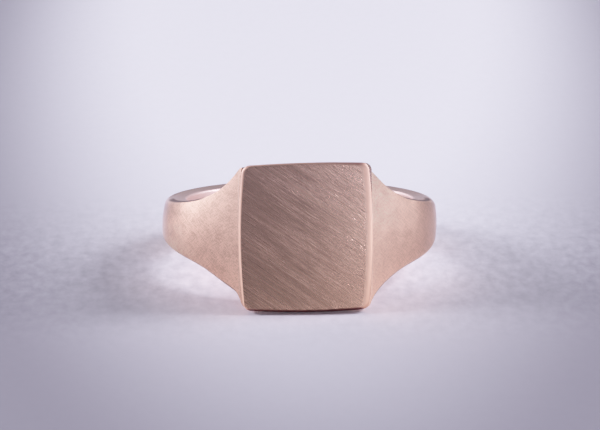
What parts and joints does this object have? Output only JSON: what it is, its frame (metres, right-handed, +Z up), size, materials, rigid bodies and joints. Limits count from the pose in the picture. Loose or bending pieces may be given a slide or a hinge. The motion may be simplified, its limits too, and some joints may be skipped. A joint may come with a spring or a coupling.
{
  "type": "signet ring",
  "caption": "Plain rose-gold signet ring with a square brushed face plate, flared shoulders and a crowned hoop, lying on its side.",
  "frame": {"origin": "on the table, below the middle of the ring's box, with the ring lying on its side", "axes": "+X across the face to the right as seen from the front, +Y from the face to the back of the hoop, +Z up"},
  "size_m": [0.022, 0.0236, 0.0113],
  "materials": {
    "brushed_gold": "coarse diagonal brushing",
    "satin_gold": "fine satin, polished in the bore",
    "gold_solder": "satin, filed flush"
  },
  "bodies": {
    "root": {"signet_plate": "brushed_gold", "bezel_block": "satin_gold", "left_shoulder": "satin_gold", "right_shoulder": "satin_gold", "hoop": "satin_gold", "plate_solder": "gold_solder", "left_bezel_solder": "gold_solder", "right_bezel_solder": "gold_solder", "left_hoop_solder": "gold_solder", "right_hoop_solder": "gold_solder"}
  },
  "joints": []
}
